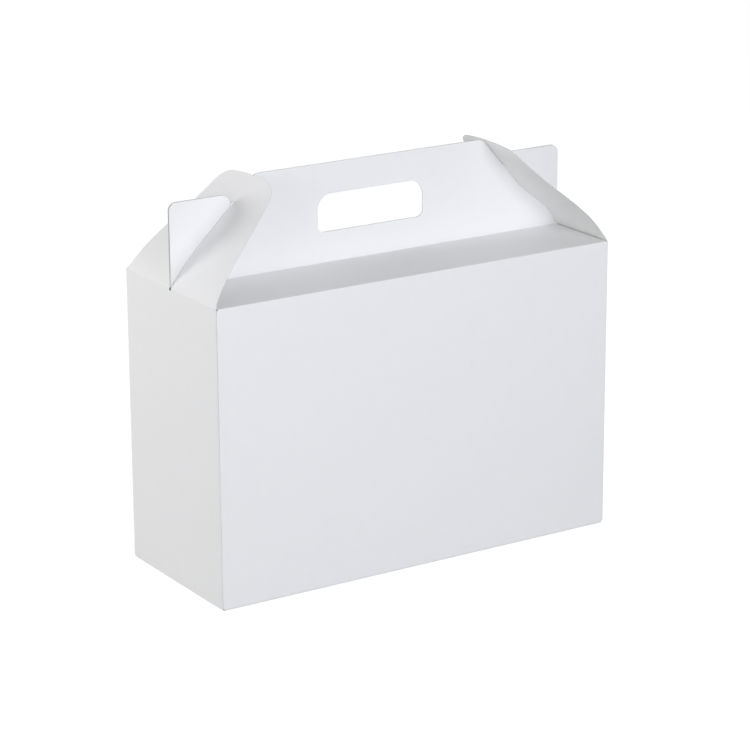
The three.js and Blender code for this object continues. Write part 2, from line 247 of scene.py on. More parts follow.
def rounded_loop(corners):
    """A closed outline through corners given as (x, y, radius), each rounded by an arc.

    The arc's centre lies on the corner's bisector at radius / sin(half the corner's angle), and it
    starts and ends radius / tan(half the angle) from the corner.
    """
    points = []
    count = len(corners)
    for i, (x, y, radius) in enumerate(corners):
        corner = np.array((x, y), float)
        if radius == 0:
            points.append(corner[None])
            continue
        before = np.array(corners[i - 1][:2]) - corner
        after = np.array(corners[(i + 1) % count][:2]) - corner
        before /= np.hypot(*before)
        after /= np.hypot(*after)
        half = math.acos(np.clip(before @ after, -1, 1)) / 2
        bisector = before + after
        centre = corner + bisector / np.hypot(*bisector) * radius / math.sin(half)
        first = corner + before * radius / math.tan(half) - centre
        last = corner + after * radius / math.tan(half) - centre
        start = math.atan2(first[1], first[0])
        sweep = (math.atan2(last[1], last[0]) - start + math.pi) % (2 * math.pi) - math.pi
        angles = start + sweep * np.linspace(0, 1, max(3, round(abs(sweep) / ARC_STEP)) + 1)
        points.append(centre + radius * np.stack([np.cos(angles), np.sin(angles)], 1))
    return np.concatenate(points)


def arc(centre, radius, start, end):
    """Points of a circle's arc from one angle to another: centre + radius (cos a, sin a)."""
    steps = max(3, round(abs(end - start) / ARC_STEP))
    angles = np.linspace(start, end, steps + 1)
    return np.array(centre) + radius * np.stack([np.cos(angles), np.sin(angles)], 1)


def crossed_by_lines(loop, across, up):
    """The outline with a point added wherever a side crosses a line x = across or y = up."""
    ends = np.roll(loop, -1, axis=0)
    pieces = []
    for start, end in zip(loop, ends):
        step = end - start
        shares = [np.zeros(1)]
        for axis, lines in ((0, across), (1, up)):
            if abs(step[axis]) > SAME_POINT:
                share = (lines - start[axis]) / step[axis]
                shares.append(share[(share > 0) & (share < 1)])
        share = np.sort(np.concatenate(shares))
        span = np.hypot(*step)
        keep = (np.diff(share, prepend=0) * span > LEAST_SIDE) & ((1 - share) * span > LEAST_SIDE)
        keep[0] = True
        pieces.append(start + share[keep, None] * step)
    return np.concatenate(pieces)


def inside(points, loop):
    """Whether each point lies inside a closed outline: a ray to its right crosses an odd count of sides."""
    odd = np.zeros(len(points), bool)
    for a, b in zip(loop, np.roll(loop, -1, axis=0)):
        if a[1] == b[1]:
            continue
        spans = (a[1] > points[:, 1]) != (b[1] > points[:, 1])
        at = a[0] + (points[:, 1] - a[1]) * (b[0] - a[0]) / (b[1] - a[1])
        odd ^= spans & (points[:, 0] < at)
    return odd


def between(points, loops):
    """Whether each point lies inside the first outline and outside all the others."""
    kept = inside(points, loops[0])
    for loop in loops[1:]:
        kept &= ~inside(points, loop)
    return kept


def distance_to(points, loop):
    """Each point's distance to the nearest side of a closed outline."""
    nearest = np.full(len(points), np.inf)
    for a, b in zip(loop, np.roll(loop, -1, axis=0)):
        side = b - a
        share = np.clip((points - a) @ side / max(side @ side, SAME_POINT**2), 0, 1)
        nearest = np.minimum(nearest, np.hypot(*(points - a - share[:, None] * side).T))
    return nearest


def spaced(low, high, spacing):
    """Evenly spaced values from low to high, no further apart than the spacing."""
    return np.linspace(low, high, math.ceil((high - low) / spacing) + 1)


def separate(groups):
    """Ruled lines in order, without any that lies too close to a line of a later group."""
    lines = groups[-1]
    for group in reversed(groups[:-1]):
        gap = np.abs(group[:, None] - lines[None]).min(1)
        lines = np.concatenate([lines, group[gap > LINE_CLEARANCE]])
    lines = np.unique(lines)
    return lines[np.insert(np.diff(lines) > SAME_LINE, 0, True)]


# Sheets of board

SHARP_ANGLE = math.radians(50)
BEND_STEPS = 8

# Ruled lines on a flat stretch, and their distances from the start and end of a fold
FLAT_SPACING = 9.0
SHOULDER_LINES = np.array((0.15, 0.5, 0.9, 1.4, 2.2))


def triangulated(loops, across, up):
    """Triangles over a flat outline with holes, all turned the same way round.

    The outlines' points, and the crossings of the ruled lines between them, are joined by
    constrained Delaunay.
    """
    loops = [crossed_by_lines(loop, across, up) for loop in loops]
    grid = np.stack(np.meshgrid(across, up), -1).reshape(-1, 2)
    grid = grid[between(grid, loops)]
    for loop in loops:
        grid = grid[distance_to(grid, loop) > GRID_CLEARANCE]
    points = np.concatenate([*loops, grid])
    edges = []
    first = 0
    for loop in loops:
        ring = np.arange(len(loop)) + first
        edges += np.stack([ring, np.roll(ring, -1)], 1).tolist()
        first += len(loop)
    vectors = [Vector(point) for point in points.tolist()]
    joined, _, faces, *_ = delaunay_2d_cdt(vectors, edges, [], 1, SAME_POINT)
    flat = np.array([tuple(point) for point in joined])
    tris = np.array(faces)
    tris = tris[between(flat[tris].mean(1), loops)]
    a, b, c = (flat[tris[:, i]] for i in range(3))
    area = (b[:, 0] - a[:, 0]) * (c[:, 1] - a[:, 1]) - (b[:, 1] - a[:, 1]) * (c[:, 0] - a[:, 0])
    tris[area < 0] = tris[area < 0][:, ::-1]
    used, index = np.unique(tris, return_inverse=True)
    return flat[used], index.reshape(tris.shape)


def board_piece(name, flat, tris, outer, inner, crease, materials):
    """A closed sheet of board: its outer face, its inner face turned over, and its cut edge.

    The cut edge is a strip along every side that only one triangle has.
    """
    count = len(flat)
    sides = np.concatenate([tris[:, [0, 1]], tris[:, [1, 2]], tris[:, [2, 0]]])
    keys = np.sort(sides, axis=1)
    _, where, times = np.unique(keys, axis=0, return_inverse=True, return_counts=True)
    rim = sides[times[where.reshape(-1)] == 1]
    strip = np.stack([rim[:, 1], rim[:, 0], rim[:, 0] + count, rim[:, 1] + count], 1)
    mesh = bpy.data.meshes.new(name)
    points = np.concatenate([outer, inner]) * MM
    faces = [*tris.tolist(), *(tris[:, ::-1] + count).tolist(), *strip.tolist()]
    mesh.from_pydata(points.tolist(), [], faces)
    slots = np.repeat((0, 1, 2), (len(tris), len(tris), len(strip)))
    for material in materials:
        mesh.materials.append(material)
    mesh.polygons.foreach_set("material_index", slots.astype(np.int32))
    mesh.polygons.foreach_set("use_smooth", np.ones(len(faces), bool))
    layer = mesh.attributes.new("crease", "FLOAT", "POINT")
    layer.data.foreach_set("value", np.concatenate([crease, crease]).astype(np.float32))
    corners = np.zeros(len(mesh.loops), np.int32)
    mesh.loops.foreach_get("vertex_index", corners)
    uv = mesh.uv_layers.new(name="Blank")
    uv.data.foreach_set("uv", (np.concatenate([flat, flat])[corners] * MM).astype(np.float32).ravel())
    mesh.set_sharp_from_angle(angle=SHARP_ANGLE)
    mesh.update()
    piece = bpy.data.objects.new(name, mesh)
    bpy.context.scene.collection.objects.link(piece)
    return piece


def folded_path(corners, radius):
    """A path through the corners, each bent to a round.

    Returns a function of the distance along it, which gives points and headings, and the distances
    where its straights and rounds begin. On a straight, point = start + d (cos h, sin h), h being
    the heading. On a round of curvature k, heading = h + k d and
    point = start + (sin(h + k d) - sin h, cos h - cos(h + k d)) / k.
    """
    corners = np.array(corners, float)
    legs = np.diff(corners, axis=0)
    lengths = np.hypot(*legs.T)
    along = legs / lengths[:, None]
    headings = np.arctan2(legs[:, 1], legs[:, 0])
    turns = (np.diff(headings) + math.pi) % (2 * math.pi) - math.pi
    cuts = radius * np.tan(np.abs(turns) / 2)
    count = 2 * len(legs) - 1
    stretch = np.zeros(count)
    stretch[0::2] = lengths - np.append(cuts, 0) - np.insert(cuts, 0, 0)
    stretch[1::2] = radius * np.abs(turns)
    curvature = np.zeros(count)
    curvature[1::2] = np.sign(turns) / radius
    heading = np.zeros(count)
    heading[0::2] = headings
    heading[1::2] = headings[:-1]
    origin = np.zeros((count, 2))
    origin[0::2] = corners[:-1] + along * np.insert(cuts, 0, 0)[:, None]
    origin[1::2] = corners[1:-1] - along[:-1] * cuts[:, None]
    begins = np.insert(np.cumsum(stretch), 0, 0)

    def at(distance):
        place = np.clip(np.searchsorted(begins, distance, side="right") - 1, 0, count - 1)
        d = distance - begins[place]
        k = curvature[place]
        h = heading[place]
        now = h + k * d
        plain = (k == 0)[:, None]
        straight = d[:, None] * np.stack([np.cos(h), np.sin(h)], 1)
        turned = np.stack([np.sin(now) - np.sin(h), np.cos(h) - np.cos(now)], 1)
        return origin[place] + np.where(plain, straight, turned / np.where(plain, 1, k[:, None])), now

    return at, begins


def fold_lines(begins):
    """Lines ruled across every fold of a path, and shoulder lines on both sides of it."""
    lines = []
    for start, end in zip(begins[1::2], begins[2::2]):
        lines += [np.linspace(start, end, BEND_STEPS + 1), start - SHOULDER_LINES, end + SHOULDER_LINES]
    return np.concatenate(lines)


def fold_middles(begins):
    """The distances at the middle of a path's folds."""
    return (begins[1:-1:2] + begins[2::2]) / 2


def bump(share):
    """0 at both ends of a span and 1 in the middle: sin(pi x) squared."""
    return np.sin(math.pi * np.clip(share, 0, 1)) ** 2


def near(values, middles, width):
    """1 on any of the middles, falling off as exp(-(distance / width) squared)."""
    gap = np.abs(values[:, None] - np.asarray(middles)[None]).min(1)
    return np.exp(-((gap / width) ** 2))


# The end flap's bend, which also sets the handle's notch

CURVE_STEPS = 400


def flap_bend(lock):
    """The locked flap's middle line in (inward, up) from the end's outside and the roof.

    It is the cubic Bezier curve whose ends slope at the start and end angles and pull by the same
    length. Returns a function of the distance along the curve's chord that gives points and slopes,
    the chord's length, and the curve's points.
    """
    start = np.array((CREASE_INSET, -CREASE_INSET))
    tip = np.array((lock["reach"], lock["rise"]))
    first = start + lock["pull"] * np.array((math.cos(lock["start_angle"]), math.sin(lock["start_angle"])))
    last = tip - lock["pull"] * np.array((math.cos(lock["end_angle"]), math.sin(lock["end_angle"])))
    t = np.linspace(0, 1, CURVE_STEPS + 1)[:, None]
    curve = (1 - t) ** 3 * start + 3 * (1 - t) ** 2 * t * first + 3 * (1 - t) * t**2 * last + t**3 * tip
    slope = (1 - t) ** 2 * (first - start) + 2 * (1 - t) * t * (last - first) + t**2 * (tip - last)
    chord = tip - start
    length = np.hypot(*chord)
    reached = (curve - start) @ chord / length

    def at(distance):
        d = np.clip(distance, 0, length)
        point = np.stack([np.interp(d, reached, curve[:, i]) for i in (0, 1)], 1)
        heading = np.stack([np.interp(d, reached, slope[:, i]) for i in (0, 1)], 1)
        heading /= np.hypot(*heading.T)[:, None]
        past = distance - d
        return point + past[:, None] * heading, heading

    return at, length, curve


def slit_end(blank, lock):
    """How far up the chord the slit ends, so that the flap swings clear of the ear's far corner."""
    corner_in = blank["ear_inner"] - blank["ear_inner_radius"] - CREASE_INSET
    corner_up = blank["ear_rise"] - blank["ear_inner_radius"] + CREASE_INSET
    return math.hypot(corner_in, corner_up) + blank["ear_inner_radius"] + lock["swing_clearance"]


def notch_wall(blank, lock):
    """The foot and head, in (inward, up), of the slanted wall that the locked flap leans on.

    It is a line along the board above the slit, clear of the board's inner face.
    """
    _, _, curve = flap_bend(lock)
    from_crease = np.hypot(*(curve - curve[0]).T)
    bridge = curve[(from_crease > slit_end(blank, lock)) & (curve[:, 1] < HANDLE_RISE)]
    along = bridge[-1] - bridge[0]
    along /= np.hypot(*along)
    inner = np.array((along[1], -along[0]))
    bulge = ((bridge - bridge[0]) @ inner).max()
    on_wall = bridge[0] + inner * (bulge + BOARD / 2 + blank["notch_clearance"])
    slope = along[1] / along[0]
    foot = (blank["ear_inner"], on_wall[1] + (blank["ear_inner"] - on_wall[0]) * slope)
    head = (on_wall[0] + (HANDLE_RISE - on_wall[1]) / slope, HANDLE_RISE)
    return foot, head


# The carton

# Height of the inner bottom flaps' middle, which lie on the outer ones
DUST_LEVEL = BOARD * 1.5

# How far a crease's press and bead reach to each side of it
CREASE_WIDTH = 1.0

# The handle panels spring free over this share of the ear's rise above the roof
SPRING_SHARE = 1 / 6


def carton_paths(blank):
    """The plan path round the walls, and the upright paths of the long panels and of the ends.

    All run along the board's middle.
    """
    half_x = LENGTH / 2 - BOARD / 2
    half_y = DEPTH / 2 - BOARD / 2
    bend = blank["fold_radius"] + BOARD / 2
    raw_edge = -LENGTH / 2 + blank["seam_setback"]
    plan = folded_path(
        [
            (raw_edge, -half_y),
            (half_x, -half_y),
            (half_x, half_y),
            (-half_x, half_y),
            (-half_x, -half_y + BOARD),
            (-half_x + blank["tab_width"], -half_y + BOARD),
        ],
        bend,
    )
    grip = half_y - blank["sheet_gap"] / 2 - BOARD / 2
    side = folded_path(
        [
            (half_y - blank["bottom_gap"] / 2, BOARD / 2),
            (0, BOARD / 2),
            (0, ROOF - BOARD / 2),
            (grip, ROOF - BOARD / 2),
            (grip, ROOF + HANDLE_RISE),
        ],
        bend,
    )
    end = folded_path(
        [(blank["dust_length"] - BOARD / 2, DUST_LEVEL), (0, DUST_LEVEL), (0, CREASE_Z)],
        bend,
    )
    return plan, side, end, bend


def handle_corners(blank, lock):
    """One half of the handle's outline, from the ear's outer edge inwards.

    Each corner is (distance from the handle's middle, height above the roof, radius).
    """
    foot, head = notch_wall(blank, lock)
    half = LENGTH / 2
    return [
        (half - blank["top_setback"], blank["ear_rise"], blank["ear_outer_radius"]),
        (half - blank["ear_inner"], blank["ear_rise"], blank["ear_inner_radius"]),
        (half - foot[0], foot[1], blank["notch_radius"]),
        (half - head[0], head[1], blank["shoulder_radius"]),
    ]


def blank_loops(blank, lock, plan_begins, side_begins, end_begins, bend):
    """The flat blank in (distance round the walls, height up the board): its outline and two hand holes.

    Height is counted so that it equals the true height on the walls. Also returns where the middle
    of each panel lies round the walls, and the heights of each upright path's start and of the
    handle's foot.
    """
    side_zero = side_begins[2] - (BOARD / 2 + bend)
    wall_foot = DUST_LEVEL + bend
    end_zero = end_begins[2] - wall_foot
    wall_top = ROOF - BOARD / 2 - bend
    handle_zero = side_begins[6] - side_zero - (bend - BOARD / 2)
    middles = {
        "front": LENGTH / 2 - blank["seam_setback"],
        "right": plan_begins[2] + DEPTH / 2 - BOARD / 2 - bend,
        "back": plan_begins[4] + LENGTH / 2 - BOARD / 2 - bend,
        "left": plan_begins[6] + DEPTH / 2 - BOARD / 2 - bend,
    }
    half_handle = handle_corners(blank, lock)
    roof_end = LENGTH / 2 - blank["top_setback"]
    flap_end = LENGTH / 2 - blank["bottom_setback"]
    flap_slope = blank["bottom_setback"]
    dust_end = DEPTH / 2 - blank["dust_setback"]
    crease_end = DEPTH / 2 - BOARD / 2 - bend - blank["crease_setback"]
    outline = [(blank["seam_opening"], wall_foot, 0)]
    for name, width, slope, low, radius in (
        ("front", flap_end, flap_slope, -side_zero, blank["bottom_radius"]),
        ("right", dust_end, blank["dust_slope"], -end_zero, blank["dust_radius"]),
        ("back", flap_end, flap_slope, -side_zero, blank["bottom_radius"]),
        ("left", dust_end, blank["dust_slope"], -end_zero, blank["dust_radius"]),
    ):
        middle = middles[name]
        outline += [
            (middle - width, wall_foot, 0),
            (middle - width + slope, low, radius),
            (middle + width - slope, low, radius),
            (middle + width, wall_foot, 0),
        ]
    tab_end = plan_begins[-1]
    tab_fold = plan_begins[8]
    outline += [
        (tab_fold, wall_foot, 0),
        (tab_end, wall_foot + blank["tab_slope"], 0),
        (tab_end, wall_top - blank["tab_slope"], 0),
        (tab_fold, wall_top, 0),
    ]
    loop = [rounded_loop(outline)]
    for name in ("left", "back", "right", "front"):
        middle = middles[name]
        if name in ("left", "right"):
            loop += [
                np.array([(middle + crease_end, wall_top), (middle + crease_end, CREASE_Z)]),
                arc((middle, CREASE_Z), lock["relief_radius"], 0, -math.pi),
                np.array([(middle - crease_end, CREASE_Z), (middle - crease_end, wall_top)]),
            ]
        else:
            right = [(middle + x, handle_zero + z, r) for x, z, r in half_handle]
            left = [(middle - x, handle_zero + z, r) for x, z, r in reversed(half_handle)]
            foot_right = (middle + roof_end, wall_top, 0)
            foot_left = (middle - roof_end, wall_top, 0)
            loop.append(rounded_loop([foot_right, *right, *left, foot_left]))
    loop.append(np.array([(0, wall_top)]))
    half_hole = blank["hole_width"] / 2
    low = handle_zero + blank["hole_rise"]
    high = low + blank["hole_height"]
    hole = (
        (-half_hole, low, blank["hole_bottom_radius"]),
        (half_hole, low, blank["hole_bottom_radius"]),
        (half_hole, high, blank["hole_top_radius"]),
        (-half_hole, high, blank["hole_top_radius"]),
    )
    holes = [rounded_loop([(middles[name] + x, z, r) for x, z, r in hole]) for name in ("front", "back")]
    return [np.concatenate(loop), *holes], middles, side_zero, end_zero, handle_zero


def handle_spring(blank, from_middle, rise):
    """How far a handle panel springs away from the other one, and how far its ears stand out endways.

    With e the share of the ear's width, the panels are pressed together by the pinch between the
    ears and part by (parting + pinch) (3 e^2 - 2 e^3) over them. The ear's cut end stands out by e
    times the spread. Both ease in above the roof.
    """
    ear_start = LENGTH / 2 - blank["ear_inner"]
    ear = np.clip((from_middle - ear_start) / (blank["ear_inner"] - blank["top_setback"]), 0, 1)
    pinch = blank["handle_pinch"]
    springing = ear**2 * (3 - 2 * ear) * (blank["ear_parting"] + pinch) - pinch
    apart = springing * np.clip(rise / (SPRING_SHARE * blank["ear_rise"]), 0, 1)
    endways = ear * np.clip(rise, 0, 1) * blank["ear_spread"]
    return apart, endways


def folded_carton(blank, lock, materials):
    """The blank folded up.

    A point at distance s round the walls and height v goes to plan(s) + inward * q(v), z(v), where
    (q, z) is the upright path of its panel. Each face lies half a board from there along the path's
    normal, less the crease's press outside and plus its bead inside.
    """
    (plan, plan_begins), (side, side_begins), (end, end_begins), bend = carton_paths(blank)
    loops, middles, side_zero, end_zero, handle_zero = blank_loops(
        blank, lock, plan_begins, side_begins, end_begins, bend
    )
    across = [spaced(0, plan_begins[-1], FLAT_SPACING), fold_lines(plan_begins)]
    up = [
        spaced(loops[0][:, 1].min(), loops[0][:, 1].max(), FLAT_SPACING),
        fold_lines(side_begins) - side_zero,
        fold_lines(end_begins) - end_zero,
    ]
    flat, tris = triangulated(loops, separate(across), separate(up))
    s, v = flat.T
    place, heading = plan(s)
    borders = fold_middles(plan_begins)
    panel = np.searchsorted(borders, s)
    long_panel = (panel == 0) | (panel == 2)
    end_panel = (panel == 1) | (panel == 3)
    kinds = [long_panel, end_panel]
    side_point, side_heading = side(v + side_zero)
    end_point, end_heading = end(v + end_zero)
    q = np.select(kinds, [side_point[:, 0], end_point[:, 0]], 0.0)
    z = np.select(kinds, [side_point[:, 1], end_point[:, 1]], v)
    turn = np.select(kinds, [side_heading, end_heading], math.pi / 2)
    inward = np.stack([-np.sin(heading), np.cos(heading)], 1)
    middle = np.column_stack([place + inward * q[:, None], z])
    normal = np.column_stack([inward * -np.sin(turn)[:, None], np.cos(turn)])

    wall = (v > BOARD) & (v < CREASE_Z)
    ends = np.append(borders, plan_begins[-1])
    starts = np.insert(borders, 0, 0)
    share = (s - starts[panel]) / (ends - starts)[panel]
    dish = bump(share) * bump(v / CREASE_Z) * blank["panel_dish"] * (wall & (panel < 4))
    from_middle = np.abs(s - np.where(panel == 0, middles["front"], middles["back"]))
    apart, endways = handle_spring(blank, from_middle, v - handle_zero)
    middle += normal * (apart * long_panel - dish)[:, None]
    middle[:, 0] += np.sign(middle[:, 0]) * endways * long_panel

    side_folds = fold_middles(side_begins) - side_zero
    end_folds = [*(fold_middles(end_begins) - end_zero), CREASE_Z]
    upright = [near(v, side_folds, CREASE_WIDTH), near(v, end_folds, CREASE_WIDTH)]
    crease = np.maximum(np.select(kinds, upright, 0.0), near(s, borders, CREASE_WIDTH) * wall)
    outer = middle + normal * (BOARD / 2 - crease * blank["press"])[:, None]
    inner = middle - normal * (BOARD / 2 + crease * blank["bead"])[:, None]
    return board_piece("folded_carton", flat, tris, outer, inner, crease, materials)


# The end flaps

FLAP_ROWS = 2.2
FLAP_COLUMNS = 4.5
FLAP_CREASE_WIDTH = 1.2
CURL_POWER = 0.66
SAG_POWER = 1.5

# Rows of the rounded foot, in half boards from the crease, and its least thickness squared
FOOT_ROWS = np.array((0.38, 0.71, 0.92))
FOOT_LEAST = 0.03


def half_flap(blank, lock, length, corner_radius):
    """Half the flap's flat outline in (up the chord, across), from the tip's middle to the slit's end.

    The tip is a gentle arch. The corner's arc touches it and the tapered side, which ends in a
    bent shoulder at the foot. The slit is a slot, open at the crease.
    """
    foot = DEPTH / 2 - lock["foot_setback"]
    waist = DEPTH / 2 - lock["waist_setback"]
    taper = lock["taper"]
    lean = math.atan(taper)
    arch = length - lock["tip_radius"]
    spoke = lock["tip_radius"] - corner_radius
    line = waist - taper * (arch - lock["waist_distance"]) - corner_radius / math.cos(lean)
    steep = 1 + taper**2
    reach = (taper * line + math.sqrt(steep * spoke**2 - line**2)) / steep
    corner = np.array((arch + reach, line - taper * reach))
    tip_angle = math.atan2(corner[1], reach)
    side_angle = math.pi / 2 - lean
    on_side = waist + taper * (lock["waist_distance"] - lock["shoulder_bend"])
    bend = np.array((lock["shoulder_bend"], on_side))
    t = np.linspace(0, 1, BEND_STEPS + 1)[:, None]
    start = np.array((0.0, foot))
    stop = np.array((lock["waist_distance"], waist))
    shoulder = (1 - t) ** 2 * start + 2 * (1 - t) * t * bend + t**2 * stop
    upper = np.concatenate(
        [
            arc((arch, 0), lock["tip_radius"], 0, tip_angle)[1:-1],
            arc(corner, corner_radius, tip_angle, side_angle),
            shoulder[::-1],
            [(-BOARD / 2, foot)],
        ]
    )
    half_slit = blank["sheet_gap"] / 2 + BOARD + lock["slit_clearance"]
    relief = lock["relief_radius"]
    meet = math.sqrt(relief**2 - half_slit**2)
    slit_tip = lock["slit_tip"]
    narrow = slit_end(blank, lock) - lock["slit_narrowing"]
    slit_arc = arc((slit_end(blank, lock) - slit_tip, 0), slit_tip, math.pi / 2, 0)
    relief_arc = arc((0, 0), relief, math.pi - math.acos(BOARD / 2 / relief), math.atan2(half_slit, meet))
    return np.concatenate([upper, relief_arc, [(narrow, half_slit)], slit_arc])


def flap_loop(blank, lock, length, side):
    """The flap's whole flat outline: its two halves, joined at the tip's middle and at the slit's end."""
    radii = [lock["back_corner_radius"], lock["front_corner_radius"]]
    if side > 0:
        radii.reverse()
    half = half_flap(blank, lock, length, radii[0])
    other = half_flap(blank, lock, length, radii[1])[::-1] * (1, -1)
    return np.concatenate([[(length, 0.0)], half, other[1:]])


def curl(lock, c, y, length, sag_end, name):
    """How far the flap stands out of its plain bend, from the strain of the slit.

    With t = 2 |y| / depth, it curls out by (slit_lift (1 - t^2) + edge_lift t^2) times
    sin(pi (c / length)^0.66), which is steep at the crease and dies away at the tip. The slit's
    edges sink by sag (1 - t)^1.5 times sin(pi (c - start) / (end - start))^2.
    """
    t = np.clip(np.abs(y) / (DEPTH / 2), 0, 1)
    edge_lift = np.where(y < 0, lock[name + "_front_lift"], lock[name + "_back_lift"])
    lift = lock[name + "_slit_lift"] * (1 - t**2) + edge_lift * t**2
    rise = np.sin(math.pi * np.clip(c / length, 0, 1) ** CURL_POWER)
    sunk = bump((c - lock["sag_start"]) / (sag_end - lock["sag_start"])) * (1 - t) ** SAG_POWER
    return lift * rise - lock[name + "_sag"] * sunk


def lock_flap(blank, lock, name, side, materials):
    """The blank's end flap, bent as it lies when locked, with its foot rounded about the crease.

    A point c up the chord and y across goes to bend(c), and each face lies half a board from there
    along the bend's normal.
    """
    bend, length, _ = flap_bend(lock)
    length += lock["tip_reserve"]
    rows = np.concatenate([-BOARD / 2 * FOOT_ROWS, spaced(0, length, FLAP_ROWS)])
    columns = spaced(-DEPTH / 2, DEPTH / 2, FLAP_COLUMNS)
    flat, tris = triangulated([flap_loop(blank, lock, length, side)], rows, columns)
    c, y = flat.T[0], -side * flat.T[1]
    point, heading = bend(c)
    outward = np.stack([-heading[:, 1], heading[:, 0]], 1)
    out = curl(lock, c, y, length, slit_end(blank, lock) + lock["sag_past"], name)
    middle = point + outward * out[:, None]
    foot = np.sqrt(np.clip(1 - (2 * c / BOARD) ** 2, FOOT_LEAST, 1))
    half_board = np.where(c < 0, foot, 1) * BOARD / 2
    faces = []
    for sign in (1, -1):
        section = middle + outward * (sign * half_board)[:, None]
        faces.append(np.column_stack([side * (LENGTH / 2 - section[:, 0]), y, ROOF + section[:, 1]]))
    crease = near(c, [0.0], FLAP_CREASE_WIDTH)
    return board_piece(name + "_slit_flap", flat, tris[:, ::-1], *faces, crease, materials)


# Materials

# The middle range of Blender's noise, where most of it lies
NOISE_LOW = 0.3
NOISE_HIGH = 0.7


def add_node(tree, kind, settings=None, links=None):
    """A new node with its settings, inputs by name or index, and links from other nodes' outputs."""
    node = tree.nodes.new(kind)
    for key, value in (settings or {}).items():
        if isinstance(key, str) and hasattr(node, key):
            setattr(node, key, value)
        else:
            node.inputs[key].default_value = value
    for key, output in (links or {}).items():
        tree.links.new(output, node.inputs[key])
    return node


def new_material(name):
    """A material with no nodes yet."""
    material = bpy.data.materials.new(name)
    material.use_nodes = True
    material.node_tree.nodes.clear()
    return material


def paper_noise(tree, place, grain, detail, seed=0.0):
    """Noise whose grains measure about that many millimetres."""
    noise = add_node(
        tree,
        "ShaderNodeTexNoise",
        {
            "noise_dimensions": "4D",
            "W": seed,
            "Scale": 1 / (grain * MM),
            "Detail": detail,
            "Roughness": 0.6,
        },
        {"Vector": place},
    )
    return noise.outputs["Fac"]


def spread_over(tree, noise, low, high):
    """The noise's middle range spread over low to high."""
    spread = add_node(
        tree,
        "ShaderNodeMapRange",
        {"From Min": NOISE_LOW, "From Max": NOISE_HIGH, "To Min": low, "To Max": high},
        {"Value": noise},
    )
    return spread.outputs["Result"]


def shaded(tree, colour, shade):
    """The colour scaled by a shade."""
    scaled = add_node(
        tree, "ShaderNodeVectorMath", {"operation": "SCALE", 0: colour[:3]}, {"Scale": shade}
    )
    return scaled.outputs["Vector"]


def raised(tree, noise, strength, height):
    """The surface raised by the noise, by a height in millimetres."""
    bumped = add_node(
        tree, "ShaderNodeBump", {"Strength": strength, "Distance": height * MM}, {"Height": noise}
    )
    return bumped.outputs["Normal"]


def board_material(name, colour, roughness, fibre_height, cloud_amount):
    """Paperboard: cloudy formation, a fine felt of fibres, and rougher board along each crease."""
    tree = new_material(name).node_tree
    place = add_node(tree, "ShaderNodeTexCoord").outputs["Object"]
    # Clouds of thicker and thinner pulp, some 7 mm across
    clouds = paper_noise(tree, place, 7, 4)
    value = shaded(tree, colour, spread_over(tree, clouds, 1 - cloud_amount, 1.0))
    # Single fibres, about half a millimetre long, felted flat
    fibres = paper_noise(tree, place, 0.45, 5, seed=3.0)
    # Specks where the calender polished the face unevenly
    specks = paper_noise(tree, place, 1.6, 2, seed=8.0)
    polish = spread_over(tree, specks, roughness - 0.05, roughness + 0.05)
    crease = add_node(tree, "ShaderNodeAttribute", {"attribute_name": "crease"}).outputs["Fac"]
    rough = add_node(
        tree, "ShaderNodeMath", {"operation": "MULTIPLY_ADD", 1: 0.1}, {0: crease, 2: polish}
    )
    shader = add_node(
        tree,
        "ShaderNodeBsdfPrincipled",
        {"IOR": 1.5, "Specular IOR Level": 0.4},
        {
            "Base Color": value,
            "Roughness": rough.outputs["Value"],
            "Normal": raised(tree, fibres, 0.35, fibre_height),
        },
    )
    add_node(tree, "ShaderNodeOutputMaterial", links={"Surface": shader.outputs["BSDF"]})


def cut_edge_material(name, colour):
    """Knife-cut board edge: fibres torn a third of a millimetre long, a little duller than the faces."""
    tree = new_material(name).node_tree
    place = add_node(tree, "ShaderNodeTexCoord").outputs["Object"]
    torn = paper_noise(tree, place, 0.35, 4, seed=5.0)
    value = shaded(tree, colour, spread_over(tree, torn, 0.88, 1.0))
    shader = add_node(
        tree,
        "ShaderNodeBsdfPrincipled",
        {"IOR": 1.5, "Specular IOR Level": 0.25, "Roughness": 0.85},
        {"Base Color": value, "Normal": raised(tree, torn, 0.6, 0.05)},
    )
    add_node(tree, "ShaderNodeOutputMaterial", links={"Surface": shader.outputs["BSDF"]})


BOARD_FACES = ("Clay-coated bleached board", "Uncoated bleached board", "Knife-cut board edge")


def board_materials(finish):
    """The board's outer face, inner face and cut edge, made once and shared by every piece."""
    made = bpy.data.materials
    coated, uncoated, cut_edge = BOARD_FACES
    if coated not in made:
        # Coated face: smooth, near white, a soft satin
        board_material(coated, tuple(finish.coated), 0.55, 0.03, 0.012)
        # Uncoated face: the same pulp, felted and matt
        board_material(uncoated, tuple(finish.uncoated), 0.8, 0.06, 0.03)
        cut_edge_material(cut_edge, tuple(finish.cut_edge))
    return [made[name] for name in BOARD_FACES]


# Studio

# Places and sizes in metres
CAMERA_PLACE = Vector((-1.0143, -1.5943, 0.7053))
FLOOR_RADIUS = 6.0
FLOOR_DROP = 0.0001

FLOOR_SIDES = 96
WHITE = linear("#FFFFFF")

# Each lamp's name, azimuth and elevation in degrees, and whether it has the front tint
LAMPS = (
    ("front", 0, 12, True),
    ("top", 0, 40, True),
    ("left", -65, 12, False),
    ("back", -125, 12, False),
    ("right", 90, 30, False),
)


def seen_directly(tree):
    """1 on rays straight from the camera or off a glossy surface, else 0."""
    rays = add_node(tree, "ShaderNodeLightPath")
    seen = add_node(
        tree,
        "ShaderNodeMath",
        {"operation": "MAXIMUM"},
        {0: rays.outputs["Is Camera Ray"], 1: rays.outputs["Is Glossy Ray"]},
    )
    return seen.outputs["Value"]


